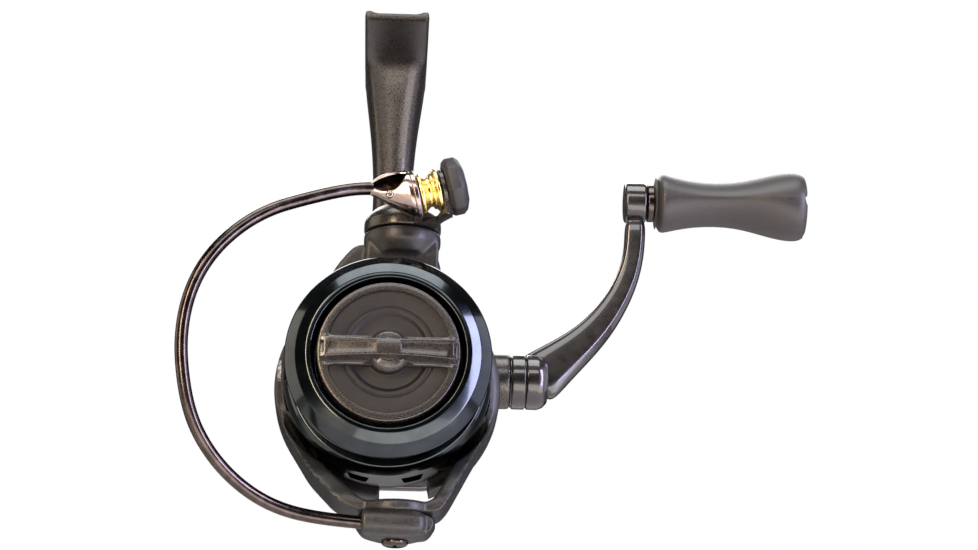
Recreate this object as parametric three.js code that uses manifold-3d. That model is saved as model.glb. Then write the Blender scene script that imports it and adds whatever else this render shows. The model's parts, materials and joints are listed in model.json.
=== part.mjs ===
// Open-face spinning reel, 2500 class. Millimetres, +Z up, the spool faces -Y and the handle is on +X.
// Everything is drawn round the spool axis, which runs along Y through x = 0, z = 0, with y = 0 at the front
// of the spool lip. The last lines move the whole reel so that the origin is the middle of the foot seat.
import * as THREE from 'three';
import { mergeVertices } from 'three/addons/utils/BufferGeometryUtils.js';
import Module from 'manifold-3d';

const wasm = await Module();
wasm.setup();

// ---------------------------------------------------------------- driving dimensions
const GAP = 0.3;                                  // clearance between neighbouring pieces
const SPOOL = { lip: 23, skirt: 24, arbor: 14.5, rear: 29 };
const KNOB = { radius: 15.8, pocket: 14.2, front: -1.2, floor: -0.3, bar: -5.5, back: 4.2 };
const SHAFT = { radius: 2, front: 0.8, rear: 79 };
const ROTOR = { radius: 25.5, rear: 42, face: 31, sweep: 25.2 };
const PIVOT = { x: 2.5, y: 18 };                  // bail pivot line, parallel to Z
const ROLLER = { x: 8.3, y: 4, z: 38.7, tilt: THREE.MathUtils.degToRad(15) };
const AXLE = { y: 56, z: 8.6 };                   // handle axle, parallel to X
const CRANK = 46;                                 // handle throw
const OSC = { y: 67, z: 1, pin: 5.5 };            // oscillation gear centre and crank pin radius
const FOOT = { y: 36.5, z: 82, length: 63, half: 7.4 };  // the origin is on its seat, at its middle
const TEETH = { drive: 24, pinion: 5, oscPinion: 10, osc: 18 };

// ---------------------------------------------------------------- finishes
const finish = (color, roughness, metalness) => new THREE.MeshStandardMaterial({ color, roughness, metalness });
const speckled = finish(0x34332f, 0.45, 0.4);
const composite = finish(0x2b2b2a, 0.5, 0.1);
const anodised = finish(0x0d0f12, 0.12, 0.9);
const darkPlastic = finish(0x3a3835, 0.45, 0.2);
const gunmetal = finish(0x4a4340, 0.2, 1);
const gold = finish(0xd9a83a, 0.2, 1);
const mattPlastic = finish(0x1d1d1e, 0.6, 0);
const glossPaint = finish(0x1e1a17, 0.2, 0.5);
const rubber = finish(0x3a3634, 0.7, 0);
const steel = finish(0xb9bcc0, 0.3, 1);
const brass = finish(0xc49a45, 0.3, 1);
const felt = finish(0x8a8478, 0.9, 0);

// ---------------------------------------------------------------- solids
// A closed three.js geometry as a solid: shared corners merged, empty triangles dropped, faces turned outwards.
function solid(geometry) {
  const bare = geometry.clone();
  bare.deleteAttribute('normal');
  bare.deleteAttribute('uv');
  const merged = mergeVertices(bare, 1e-4);
  const index = merged.index.array;
  const position = merged.attributes.position;
  const corners = [];
  let volume = 0;
  for (let i = 0; i < index.length; i += 3) {
    const [a, b, c] = [index[i], index[i + 1], index[i + 2]];
    if (a === b || b === c || c === a) continue;
    corners.push(a, b, c);
    const [p, q, r] = [a, b, c].map((k) => new THREE.Vector3().fromBufferAttribute(position, k));
    volume += p.dot(q.cross(r));
  }
  if (volume < 0) corners.reverse();
  return new wasm.Manifold(new wasm.Mesh({
    numProp: 3,
    vertProperties: new Float32Array(position.array),
    triVerts: new Uint32Array(corners),
  }));
}

const join = (first, ...rest) => rest.reduce((whole, piece) => whole.add(piece), first);
const cut = (first, ...rest) => rest.reduce((whole, piece) => whole.subtract(piece), first);

// A profile of [radius, place] points turned about an axis through (0, 0, 0).
function turned(profile, segments = 32, axis = 'y') {
  const points = profile.map(([radius, along]) => new THREE.Vector2(radius, along));
  const last = profile[profile.length - 1];
  if (profile[0][0] > 0 || last[0] > 0) points.push(points[0].clone());
  return solid(alongAxis(new THREE.LatheGeometry(points, segments), axis));
}

function alongAxis(geometry, axis) {
  if (axis === 'x') return geometry.rotateZ(-Math.PI / 2);
  if (axis === 'z') return geometry.rotateX(Math.PI / 2);
  return geometry;
}

const disc = (radius, from, to, segments, axis) =>
  turned([[0, from], [radius, from], [radius, to], [0, to]], segments, axis);
const ring = (inner, outer, from, to, segments, axis) =>
  turned([[inner, from], [outer, from], [outer, to], [inner, to]], segments, axis);
const moved = (piece, x, y, z) => piece.translate([x, y, z]);
const rod = (radius, from, to, axis, at, segments = 12) => moved(disc(radius, from, to, segments, axis), ...at);
const tube = (inner, outer, from, to, axis, at, segments = 16) =>
  moved(ring(inner, outer, from, to, segments, axis), ...at);

// A flat outline given thickness. 'front' outlines are (x, z), 'side' ones (y, z) and 'plan' ones (x, y).
const PLANES = {
  front: [new THREE.Vector3(1, 0, 0), new THREE.Vector3(0, 0, 1)],
  side: [new THREE.Vector3(0, 1, 0), new THREE.Vector3(0, 0, 1)],
  plan: [new THREE.Vector3(1, 0, 0), new THREE.Vector3(0, 1, 0)],
};

function slab(plane, outline, from, to, curveSegments = 6) {
  const shape = outline instanceof THREE.Shape ? outline : new THREE.Shape(outline.map((p) => new THREE.Vector2(...p)));
  const geometry = new THREE.ExtrudeGeometry(shape, { depth: to - from, bevelEnabled: false, curveSegments });
  const [across, up] = PLANES[plane];
  const out = new THREE.Vector3().crossVectors(across, up);
  const start = plane === 'front' ? to : from;
  geometry.applyMatrix4(new THREE.Matrix4().makeBasis(across, up, out));
  const shift = out.clone().multiplyScalar(plane === 'front' ? -start : start);
  geometry.translate(shift.x, shift.y, shift.z);
  return solid(geometry);
}

const block = (x, y, z) => slab('plan', [[x[0], y[0]], [x[1], y[0]], [x[1], y[1]], [x[0], y[1]]], z[0], z[1]);

// A gear blank with square teeth: pitch radius less and plus the tooth height.
function gear(teeth, root, tip, bore, from, to, axis) {
  const shape = new THREE.Shape();
  const step = (Math.PI * 2) / teeth;
  for (let i = 0; i < teeth; i += 1) {
    const edges = [[root, 0], [root, 0.5], [tip, 0.58], [tip, 0.92]];
    edges.forEach(([radius, part], k) => {
      const angle = (i + part) * step;
      const point = [radius * Math.cos(angle), radius * Math.sin(angle)];
      if (i + k === 0) shape.moveTo(...point);
      else shape.lineTo(...point);
    });
  }
  const hole = new THREE.Path();
  hole.absarc(0, 0, bore, 0, Math.PI * 2, true);
  shape.holes.push(hole);
  return slab(axis === 'y' ? 'front' : 'side', shape, from, to);
}

// ---------------------------------------------------------------- assembly
const reel = new THREE.Group();

function piece(name, shape, material, parent = reel) {
  const mesh = shape.getMesh();
  const geometry = new THREE.BufferGeometry();
  geometry.setAttribute('position', new THREE.BufferAttribute(mesh.vertProperties, 3));
  geometry.setIndex(new THREE.BufferAttribute(mesh.triVerts, 1));
  const node = new THREE.Mesh(geometry, material);
  node.name = name;
  parent.add(node);
  return node;
}

// A pan-head screw with its head outwards: 'tip' and 'head' are places along the axis.
function screw(name, axis, at, tip, neck, head, radius = 1, material = steel) {
  const profile = [[0, tip], [radius, tip], [radius, neck], [radius * 1.8, neck], [radius * 1.8, head], [0, head]];
  piece(name, moved(turned(profile, 8, axis), ...at), material);
}

// ---------------------------------------------------------------- body casting: foot, stem and gearbox in one
function bodyHousing() {
  const seat = FOOT.z;
  const tip = seat - 1.4;
  const toe = FOOT.y - FOOT.length / 2;
  const heel = FOOT.y + FOOT.length / 2;
  const sideOutline = [
    [toe, seat + 1], [toe, tip], [25, 79], [30, 72.4], [35, 66], [40, 59], [43, 51.5], [44.6, 42], [45, 25],
    [43.2, 22.5], [43.2, -10], [46, -13.5], [78, -13.5], [84, -8], [84, 12], [76, 23], [62, 26], [60, 38],
    [56.5, 54], [51.5, 68], [49.5, 78.5], [heel, tip], [heel, seat + 1],
  ];
  const frontOutline = [
    [-9, -13.5], [12, -13.5], [15, -10], [15, 19], [11, 24], [6.5, 31], [4.9, 42], [4.5, 50], [4.7, 59],
    [5.4, 66], [6.6, 73], [7.3, 79], [FOOT.half, 80], [FOOT.half, seat + 0.9], [4.6, seat + 0.3], [2.2, seat],
    [-2.2, seat], [-4.6, seat + 0.3], [-FOOT.half, seat + 0.9], [-FOOT.half, 80], [-7.3, 79], [-6.6, 73],
    [-5.4, 66], [-4.7, 59], [-4.5, 50], [-4.9, 42], [-6.5, 31], [-9, 24],
  ];
  const casting = slab('side', sideOutline, -9, 15).intersect(slab('front', frontOutline, 0, 90));
  const collar = disc(22.4, 36.8, 43.4, 32, 'y');
  const bossTube = rod(6.7, 14, 29.2, 'x', [0, AXLE.y, AXLE.z], 24);
  const cavityOutline = [[43.4, 22], [43.4, -9.4], [46.5, -11.4], [77, -11.4], [81.6, -7.2], [81.6, 10.6], [74.6, 20.6],
    [61, 23], [50, 23]];
  const cavity = slab('side', cavityOutline, -10, 12.5);
  const clutchPocket = disc(12, 36, 41.4, 24, 'y');
  const pinionBore = disc(5.4, 41, 44, 20, 'y');
  const axleBore = rod(5.4, 12, 22, 'x', [0, AXLE.y, AXLE.z], 20);
  const axleNeck = rod(4, 21, 30, 'x', [0, AXLE.y, AXLE.z], 16);
  const studBore = rod(1.9, 12, 16, 'x', [0, OSC.y, OSC.z], 12);
  const rearScrewBore = rod(1.4, 81, 85, 'y', [4, 0, 2], 12);
  return cut(join(casting, collar, bossTube), cavity, clutchPocket, pinionBore, axleBore, axleNeck, studBore,
    rearScrewBore);
}
piece('body_housing', bodyHousing(), speckled);

// ---------------------------------------------------------------- left side cover and the caps on the body
const COVER_SCREWS = [[48, 19.5], [79, -8], [48, -10.5]];

function sideCover() {
  const outline = [[43.6, 22.4], [43.6, -10], [46, -13.2], [78, -13.2], [83.8, -8], [83.8, 12], [76, 22.8]];
  const inner = [[45.6, 20.6], [45.6, -9.4], [47.4, -11.4], [77, -11.4], [81.6, -7.4], [81.6, 11], [75, 20.6]];
  const shell = slab('side', outline, -14, -9 - GAP);
  const dish = slab('side', inner, -12.2, -9);
  const bearingBoss = rod(7.4, -17, -13.9, 'x', [0, AXLE.y, AXLE.z], 24);
  const bearingBore = rod(5.4, -16, -9, 'x', [0, AXLE.y, AXLE.z], 20);
  const capBore = rod(3.4, -18, -15, 'x', [0, AXLE.y, AXLE.z], 16);
  const posts = COVER_SCREWS.map(([y, z]) => rod(2.6, -13.9, -9 - GAP, 'x', [0, y, z], 12));
  const bores = COVER_SCREWS.map(([y, z]) => rod(1.3, -15, -9, 'x', [0, y, z], 12));
  return cut(join(cut(shell, dish), bearingBoss, ...posts), bearingBore, capBore, ...bores);
}
piece('side_cover', sideCover(), speckled);
COVER_SCREWS.forEach(([y, z], i) => screw(`cover_screw_${i + 1}`, 'x', [0, y, z], -9.6, -14.3, -15.3));

const capProfile = [[0, -17.3], [5.6, -17.3], [5.6, -18.2], [3.4, -19], [0, -19]];
piece('axle_cap', moved(turned(capProfile, 20, 'x'), 0, AXLE.y, AXLE.z), mattPlastic);

function rearGuard() {
  const outline = [[-9, -8], [-6, -12.4], [11.5, -12.4], [14, -9], [14, 9], [9, 16.5], [-9, 16.5]];
  const plate = slab('front', outline, 84.3, 87);
  const bore = rod(1.4, 84, 88, 'y', [4, 0, 2], 12);
  return cut(plate, bore);
}
piece('rear_guard', rearGuard(), glossPaint);
screw('guard_screw', 'y', [4, 0, 2], 82.2, 87.3, 88.4);

// ---------------------------------------------------------------- bearings and clutch
piece('drive_bearing_left', tube(3.3, 5.1, -14.6, -11, 'x', [0, AXLE.y, AXLE.z]), steel);
piece('drive_bearing_right', tube(3.3, 5.1, 17.2, 20.7, 'x', [0, AXLE.y, AXLE.z]), steel);
piece('pinion_bearing', ring(3.9, 5.1, 41.7, 43.9, 20, 'y'), steel);
piece('one_way_clutch', ring(6.4, 11.6, 37.2, 41.1, 24, 'y'), steel);
piece('clutch_sleeve', ring(4.3, 6, 37.2, 41.1, 20, 'y'), steel);
piece('guide_rod', rod(1.2, 44, 78.3, 'y', [0, 0, -8.6], 10), steel);
piece('oscillation_stud', rod(1.5, 4.9, 14.8, 'x', [0, OSC.y, OSC.z], 12), steel);

// ---------------------------------------------------------------- drive gear and its shaft
function driveGear() {
  const web = ring(3.3, 12.4, -8.6, -6.8, 24, 'x');
  const hub = ring(3.3, 5, -7, -4.6, 12, 'x');
  const crown = gear(TEETH.drive, 10.2, 12.4, 10, -6.9, -4.6, 'x');
  return moved(join(web, hub, crown), 0, AXLE.y, AXLE.z);
}
piece('drive_gear', driveGear(), brass);
piece('drive_shaft', rod(3, -14.3, 30.4, 'x', [0, AXLE.y, AXLE.z], 16), steel);
const oscPinion = gear(TEETH.oscPinion, 3.7, 4.7, 3.3, 6, 8.4, 'x');
piece('oscillation_drive_pinion', moved(oscPinion, 0, AXLE.y, AXLE.z), brass);

function oscillationGear() {
  const blank = gear(TEETH.osc, 7.2, 8.2, 1.8, 6, 8.4, 'x');
  const crankPin = rod(1.1, 4.5, 6.2, 'x', [0, OSC.pin, 0], 10);
  return moved(join(blank, crankPin), 0, OSC.y, OSC.z);
}
piece('oscillation_gear', oscillationGear(), brass);

// ---------------------------------------------------------------- handle
const collarProfile = [[3.3, 29.6], [6.7, 29.6], [6.7, 32.4], [6.2, 32.9], [3.3, 32.9]];
piece('handle_collar', moved(turned(collarProfile, 24, 'x'), 0, AXLE.y, AXLE.z), glossPaint);

function handleArm() {
  const outline = new THREE.Shape();
  const outer = [[38.2, 2.6], [40.6, 8.2], [46.2, 13.7], [51.5, 18.6], [55.8, 24.4], [58.9, 30.6], [61.4, 38.2],
    [62.2, 46]];
  const inner = [[56.8, 46], [56.6, 40], [54.6, 34], [51, 28.2], [47, 23.6], [42.6, 19.8], [36.8, 15.3]];
  outline.moveTo(33.2, 15.3);
  outline.lineTo(33.2, 1.9);
  outline.lineTo(...outer[0]);
  outline.splineThru(outer.slice(1).map((p) => new THREE.Vector2(...p)));
  outline.lineTo(62.2, AXLE.z + CRANK);
  outline.lineTo(56.8, AXLE.z + CRANK);
  outline.lineTo(...inner[0]);
  outline.splineThru(inner.slice(1).map((p) => new THREE.Vector2(...p)));
  const blade = slab('front', outline, AXLE.y - 3.4, AXLE.y + 3.4, 2);
  const hub = moved(turned([[0, 33.2], [6.7, 33.2], [6.7, 36.4], [5.4, 38.4], [0, 38.4]], 24, 'x'), 0, AXLE.y, AXLE.z);
  const barrel = rod(5, 56.8, 62.2, 'x', [0, AXLE.y, AXLE.z + CRANK], 20);
  const postBore = rod(2.4, 56, 63, 'x', [0, AXLE.y, AXLE.z + CRANK], 12);
  return cut(join(blade, hub, barrel), postBore);
}
piece('handle_arm', handleArm(), glossPaint);

const KNOB_AXIS = [0, AXLE.y, AXLE.z + CRANK];
const postProfile = [[0, 57], [2.1, 57], [2.1, 62.5], [4.6, 62.5], [4.6, 64], [2.1, 64], [2.1, 94], [0, 94]];
piece('grip_post', moved(turned(postProfile, 16, 'x'), ...KNOB_AXIS), steel);
screw('grip_screw', 'x', KNOB_AXIS, 94.3, 95.4, 96.6, 1.2);

function handleGrip() {
  const skin = [[4.1, 64.4], [6.9, 64.4], [7.5, 66], [6.6, 71], [5.5, 77.5], [5.7, 84], [7.3, 91], [8.6, 96.5],
    [8.6, 99], [7.6, 101.4], [5.6, 101.4], [5.6, 98], [4.1, 98]];
  return moved(turned(skin, 16, 'x'), ...KNOB_AXIS);
}
piece('handle_grip', handleGrip(), rubber);
piece('grip_bushing_inner', tube(2.4, 3.8, 65, 69, 'x', KNOB_AXIS), brass);
piece('grip_bushing_outer', tube(2.4, 3.8, 89, 93, 'x', KNOB_AXIS), brass);
piece('grip_end_cap', rod(5.2, 98.3, 100.8, 'x', KNOB_AXIS, 16), mattPlastic);

// ---------------------------------------------------------------- main shaft and what slides with it
piece('main_shaft', disc(SHAFT.radius, SHAFT.front, SHAFT.rear, 12, 'y'), steel);
const sliderY = OSC.y + OSC.pin;
const sliderBody = cut(block([-4, 3.9], [sliderY - 3, sliderY + 3], [-10.6, 5]),
  disc(SHAFT.radius + GAP, sliderY - 4, sliderY + 4, 12, 'y'),
  moved(disc(1.5, sliderY - 4, sliderY + 4, 10, 'y'), 0, 0, -8.6),
  rod(1.2, 2.3, 6, 'z', [0, sliderY, 0], 10));
piece('slider_block', sliderBody, brass);
screw('slider_screw', 'z', [0, sliderY, 0], 2.6, 5.3, 6.4, 0.9);
piece('spool_support', ring(2.3, 5.6, 20.4, 22.4, 20, 'y'), brass);
piece('click_gear', gear(12, 6.6, 7.4, 2.3, 22.8, 24.4, 'y'), steel);

// ---------------------------------------------------------------- spool
function spoolBody() {
  const { lip, skirt, arbor, rear } = SPOOL;
  const profile = [
    [17.4, -0.6], [17.8, -1], [19.1, -0.2], [lip - 0.4, 2.4], [lip, 3.1], [lip, 3.7], [lip - 0.8, 4.3],
    [arbor, 5.6], [arbor, 14.6], [22.4, 15.4], [22.9, 16.6], [skirt - 0.5, 19], [skirt, 27.6], [skirt, rear],
    [22.7, rear], [22.2, 18.2], [12.8, 17.6], [12.8, 12.4], [6.4, 12.4], [6.4, 20], [4.3, 20],
    [4.3, 10], [12.6, 10], [12.6, 4.9], [17.1, 4.9],
  ];
  const shell = turned(profile, 36, 'y');
  const ports = [];
  const PORTS = 12;
  for (let i = 0; i < PORTS; i += 1) {
    const angle = ((i + 0.5) * 360) / PORTS;
    ports.push(block([-2.4, 2.4], [21.5, 26], [21, 26]).rotate([0, angle, 0]));
  }
  return cut(shell, ...ports);
}
piece('spool', spoolBody(), anodised);
piece('spool_bushing', ring(2.3, 4, 10.3, 19.8, 16, 'y'), brass);
piece('line_clip', moved(block([-2, 2], [0, 3], [0, 0.8]), 0, 17, 24).rotate([0, -90, 0]), steel);
[8.6, 7.2, 5.8].forEach((y, i) => {
  const name = `drag_washer_${i + 1}`;
  piece(name, ring(2.4, i === 1 ? 11.4 : 12, y, y + 1.1, 24, 'y'), i === 1 ? steel : felt);
});

// ---------------------------------------------------------------- drag knob
function dragKnob() {
  const { radius, pocket, front, floor, bar, back } = KNOB;
  const cup = turned([
    [0, -3.1], [4.5, -3.1], [4.5, floor], [8.8, floor], [10.2, floor - 0.5], [pocket, floor - 0.5],
    [pocket + 0.4, front], [radius - 0.3, front], [radius, front + 0.4], [radius, back], [13.4, back], [13.4, 3.4],
    [4.4, 3.4], [4.4, 0.6], [0, 0.6],
  ], 32, 'y');
  const barOutline = [[-15, bar + 0.9], [0, bar], [15, bar + 0.9], [15, 0], [-15, 0]];
  const gripBar = slab('plan', barOutline, -2.3, 2.3);
  return join(cup, gripBar);
}
piece('drag_knob', dragKnob(), darkPlastic);
piece('drag_nut', cut(disc(3.9, 0.9, 2.6, 6, 'y'), disc(2.3, 0, 3, 12, 'y')), brass);
piece('drag_spring', ring(2.7, 3.6, 2.9, 4.7, 12, 'y'), steel);
piece('knob_seal', ring(11.2, 13, 3.7, 4.6, 20, 'y'), rubber);

// ---------------------------------------------------------------- rotor
function rotorShell() {
  const { radius, rear, face, sweep } = ROTOR;
  const cup = turned([
    [4.3, face], [18.8, face], [18.8, 19.6], [20.6, 19.6], [21.2, face - 1], [radius - 0.8, face], [radius, face + 1],
    [radius, rear], [23.7, rear], [23.7, 34.6], [4.3, 34.6],
  ], 36, 'y');
  const sweepCut = disc(sweep, 0, 30.4, 36, 'y');
  const armFront = [[-5.8, 20], [-5.8, 29.6], [-4, 31.4], [9.8, 31.4], [11.6, 29.6], [11.6, 20]];
  const armFlare = [[-15, 14], [-13.2, 25], [-11.6, 28], [-9, 30.2], [-7, 31.4], [9.8, 31.4], [11.8, 28], [13.4, 14]];
  const armSide = [[7, 20], [7, 29.8], [8.4, 31.4], [27, 31.4], [41.6, 26.4], [41.6, 14], [30, 14]];
  const upperArm = join(
    slab('front', armFront, 6, 43).intersect(slab('side', armSide, -20, 20)),
    slab('front', armFlare, 22, 43).intersect(slab('side', armSide, -20, 20)),
  );
  const forkOuter = [[-25.3, 2], [-25.3, -6.6], [-23, -17], [-13.2, -31.2], [12.8, -31.2], [16.8, -23.4],
    [22.2, -12], [25.2, -4], [25.2, 2]];
  const forkWindow = [[-21.6, -7], [-14.2, -22.4], [-10, -28.5], [10.6, -28.5], [14.4, -22.4], [21.4, -7]];
  const forkSide = [[32, -1], [41.4, -1], [41.4, -12], [27, -32], [8.6, -32], [8.6, -28.4], [14, -25], [30, -9]];
  const fork = cut(slab('front', forkOuter, 5, 43), slab('front', forkWindow, 0, 45))
    .intersect(slab('side', forkSide, -30, 30));
  const arms = cut(join(upperArm, fork), sweepCut, disc(24.4, 30, 45, 36, 'y'));
  const springBay = block([-3.4, 8.8], [22, 30.3], [27, 34]);
  const upperPivotBore = rod(1.4, 27.6, 34, 'z', [PIVOT.x, PIVOT.y, 0], 12);
  const lowerPivotBore = rod(1.4, -34, -28, 'z', [PIVOT.x, PIVOT.y, 0], 12);
  return cut(join(cup, arms), springBay, upperPivotBore, lowerPivotBore);
}
piece('rotor', rotorShell(), composite);

function armCover() {
  const side = [[22.3, 30.4], [22.3, 31.4], [27, 31.4], [30, 30.4], [30, 29.4], [27, 30.4]];
  return slab('side', side, -3.1, 8.5);
}
piece('arm_cover', armCover(), composite);
piece('bail_spring', rod(0.8, 22.6, 29.6, 'y', [6.4, 0, 28.2], 10), steel);
piece('kick_lever', rod(0.7, 22.6, 29.6, 'y', [-1.6, 0, 28.2], 8), steel);

const pinion = join(gear(TEETH.pinion, 2.9, 3.5, 2.3, 44.2, 53, 'y'), ring(2.3, 3.6, 34, 44.4, 20, 'y'),
  ring(2.3, 3.6, 28.6, 34.2, 20, 'y'));
piece('pinion_gear', pinion, brass);
piece('rotor_nut', cut(disc(6.8, 28.2, 30.7, 6, 'y'), disc(4, 28, 31, 16, 'y')), brass);
piece('nut_lock_plate', ring(7.4, 9.4, 29.6, 30.7, 20, 'y'), steel);

// ---------------------------------------------------------------- bail
function bailLever() {
  const cap = new THREE.Shape();
  cap.moveTo(-6.6, 12.6);
  cap.quadraticCurveTo(-6.4, 9.3, -2, 9.1);
  cap.lineTo(10.6, 9.1);
  cap.lineTo(10.6, 22);
  cap.quadraticCurveTo(9.6, 28, PIVOT.x, 28);
  cap.quadraticCurveTo(-6.4, 27.6, -6.6, 20);
  cap.closePath();
  const crown = [[-7, 31.8], [-6.6, 34.4], [-2, 36.8], [2.6, 37.2], [7.2, 36.2], [10.6, 34.2], [11, 31.8]];
  const body = slab('plan', cap, 31.8, 37.4).intersect(slab('front', crown, 5, 30));
  const tongue = block([7.2, 13.8], [0.6, 9.6], [31.8, 32.9]);
  const plate = rollerPlaced(disc(4.4, 2.8, 3.5, 20, 'x'));
  const plateFoot = block([10.4, 13.7], [1.6, 6.4], [32.6, 36]).subtract(rollerPlaced(disc(9, -4, 2.8, 20, 'x')));
  const plateTrim = rollerPlaced(disc(9, 3.6, 9, 20, 'x'));
  const screwBore = rollerPlaced(disc(1.9, 0, 6, 12, 'x'));
  const pivotBore = rod(1.4, 31, 38, 'z', [PIVOT.x, PIVOT.y, 0], 12);
  const headBore = rod(2.8, 35.6, 39, 'z', [PIVOT.x, PIVOT.y, 0], 16);
  return cut(join(body, tongue, cut(join(plate, plateFoot), plateTrim)), screwBore, pivotBore, headBore);
}

// Turns a solid drawn along X about the origin into the tilted axis of the line roller.
function rollerPlaced(shape) {
  return moved(shape.rotate([0, THREE.MathUtils.radToDeg(-ROLLER.tilt), 0]), ROLLER.x, ROLLER.y, ROLLER.z);
}
piece('bail_lever', bailLever(), speckled);
piece('pivot_screw_upper', moved(turned([[0, 28], [1.1, 28], [1.1, 35.9], [2.5, 35.9], [2.5, 37], [0, 37]], 12, 'z'),
  PIVOT.x, PIVOT.y, 0), steel);

const rollerProfile = [[2.4, -2.4], [4.5, -2.4], [4.5, -1.5], [3.6, -0.2], [3.6, 0.4], [4.5, 1.6], [4.5, 2.3], [2.4, 2.3]];
piece('line_roller', rollerPlaced(turned(rollerProfile, 20, 'x')), gold);
piece('roller_bushing', rollerPlaced(ring(1.5, 2.1, -2.3, 2.2, 16, 'x')), brass);
piece('roller_screw', rollerPlaced(turned([[0, -4.6], [1.2, -4.6], [1.2, 7.7], [0, 7.7]], 12, 'x')), steel);
const capEnd = [[1.5, 3.8], [6.4, 3.8], [6.9, 4.6], [6.9, 7], [5.2, 8.2], [1.5, 8.2]];
piece('roller_cap', rollerPlaced(turned(capEnd, 8, 'x')), mattPlastic);

function lineCone() {
  const cone = turned([[0, -11], [1.1, -10.6], [1.6, -8.4], [4.9, 0], [4.9, 1.6], [0, 1.6]], 24, 'x');
  return cut(moved(cone, 4.4, ROLLER.y - 0.6, 38.3), rollerPlaced(disc(9, -2.7, 6, 24, 'x')),
    rollerPlaced(disc(1.6, -5, 0, 12, 'x')));
}
piece('line_cone', lineCone(), gunmetal);

function bailWire() {
  const route = [[-7, 2.6, 38.6], [-13, -0.5, 36.6], [-20.6, -3, 33.6], [-26.8, -5, 30.8], [-33, -6.6, 26.4],
    [-38.6, -7.6, 20.4], [-42.6, -8.2, 13.2], [-44.7, -8.3, 4.9], [-44.9, -7.6, -4.4], [-42.7, -4.5, -16],
    [-38, -0.6, -24], [-31.2, 4, -30.1], [-23.2, 8.2, -33.9], [-13.4, 12, -35.2], [-5.4, 14.4, -35]];
  const path = new THREE.CatmullRomCurve3(route.map((p) => new THREE.Vector3(...p)));
  const section = new THREE.Shape();
  section.absarc(0, 0, 1.45, 0, Math.PI * 2, false);
  return solid(new THREE.ExtrudeGeometry(section, { steps: 36, extrudePath: path, curveSegments: 4 }));
}
piece('bail_wire', bailWire(), gunmetal);

function bailHolder() {
  const side = [[9.6, -33], [11, -31.7], [24, -31.7], [26, -33], [26, -36.4], [23.6, -38.6], [12, -38.6], [9.6, -36.6]];
  const front = [[-4.9, -31.5], [7.6, -31.5], [9.8, -33.4], [9.8, -36.8], [7.6, -38.6], [-4.9, -38.6]];
  const body = slab('side', side, -4.9, 9.8).intersect(slab('front', front, 5, 30));
  const bore = rod(1.4, -40, -31, 'z', [PIVOT.x, PIVOT.y, 0], 12);
  return cut(body, bore);
}
piece('bail_holder', bailHolder(), composite);
piece('pivot_screw_lower', moved(turned([[0, -39.9], [2.2, -39.9], [2.2, -38.9], [1.1, -38.9], [1.1, -29], [0, -29]], 12,
  'z'), PIVOT.x, PIVOT.y, 0), steel);

// ---------------------------------------------------------------- origin at the middle of the foot seat
reel.position.set(0, -FOOT.y, -FOOT.z);
const model = new THREE.Group();
model.add(reel);
export default model;
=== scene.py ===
# %% [markdown]
# # An open-face spinning reel
# The machine's frame is loaded first: every part with its true size and every joint. This lesson builds the
# surfaces that the eye sees round that frame, one piece at a time, and then gives each one its real finish.

# %% Load the frame
import json
import math
import bpy
from mathutils import Matrix, Vector


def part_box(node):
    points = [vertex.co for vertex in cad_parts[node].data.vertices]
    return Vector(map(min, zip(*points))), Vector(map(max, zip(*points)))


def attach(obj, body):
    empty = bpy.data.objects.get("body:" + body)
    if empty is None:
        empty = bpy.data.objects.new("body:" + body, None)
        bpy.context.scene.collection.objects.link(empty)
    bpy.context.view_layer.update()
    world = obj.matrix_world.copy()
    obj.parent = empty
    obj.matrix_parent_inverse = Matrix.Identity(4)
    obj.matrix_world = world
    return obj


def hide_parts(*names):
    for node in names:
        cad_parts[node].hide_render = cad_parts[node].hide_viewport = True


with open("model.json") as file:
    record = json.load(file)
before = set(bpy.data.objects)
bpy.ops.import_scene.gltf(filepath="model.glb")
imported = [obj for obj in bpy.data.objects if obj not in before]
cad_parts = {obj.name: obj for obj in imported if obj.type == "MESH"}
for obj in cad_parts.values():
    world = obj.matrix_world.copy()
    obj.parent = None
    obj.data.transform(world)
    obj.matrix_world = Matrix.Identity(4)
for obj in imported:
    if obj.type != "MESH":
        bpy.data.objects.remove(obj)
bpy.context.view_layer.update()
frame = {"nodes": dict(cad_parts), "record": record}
NODES = frame["nodes"]

# %% [markdown]
# A reel is drawn round the line that its spool turns on. That line is found from the spool's own box, and
# `at` turns millimetres from it into a place in the frame: x towards the handle, y towards the back, z up.

# %% Where things are
MM = 0.001
RIGHT = Vector((1, 0, 0))
BACK = Vector((0, 1, 0))
UP = Vector((0, 0, 1))
SKIRT_REAR = 29

spool_low, spool_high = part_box("spool")
spool_middle = (spool_low + spool_high) / 2
AXIS = Vector((spool_middle.x, spool_high.y - SKIRT_REAR * MM, spool_middle.z))


def at(x, y, z):
    return AXIS + Vector((x, y, z)) * MM


def from_axis(place):
    return (place - AXIS) / MM


post_low, post_high = [from_axis(corner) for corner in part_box("grip_post")]
collar_low, collar_high = [from_axis(corner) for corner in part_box("handle_collar")]
roller_low, roller_high = [from_axis(corner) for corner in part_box("line_roller")]
screw_low, screw_high = [from_axis(corner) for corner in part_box("pivot_screw_lower")]

CRANK_Y = (collar_low.y + collar_high.y) / 2
CRANK_Z = (collar_low.z + collar_high.z) / 2
GRIP_Z = (post_low.z + post_high.z) / 2
PIVOT = Vector(((screw_low.x + screw_high.x) / 2, (screw_low.y + screw_high.y) / 2, 0))
ROLLER = (roller_low + roller_high) / 2
ROLLER_TILT = math.radians(15)
print("handle axle at", round(CRANK_Y, 1), round(CRANK_Z, 1), "grip at", round(GRIP_Z, 1), "pivot", PIVOT)

# %% [markdown]
# The tools of the trade. An outline is drawn by pulling one point along from place to place, as by hand. It is
# then filled and given thickness, or spun round an axis, or several outlines are bridged into one skin.

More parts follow.
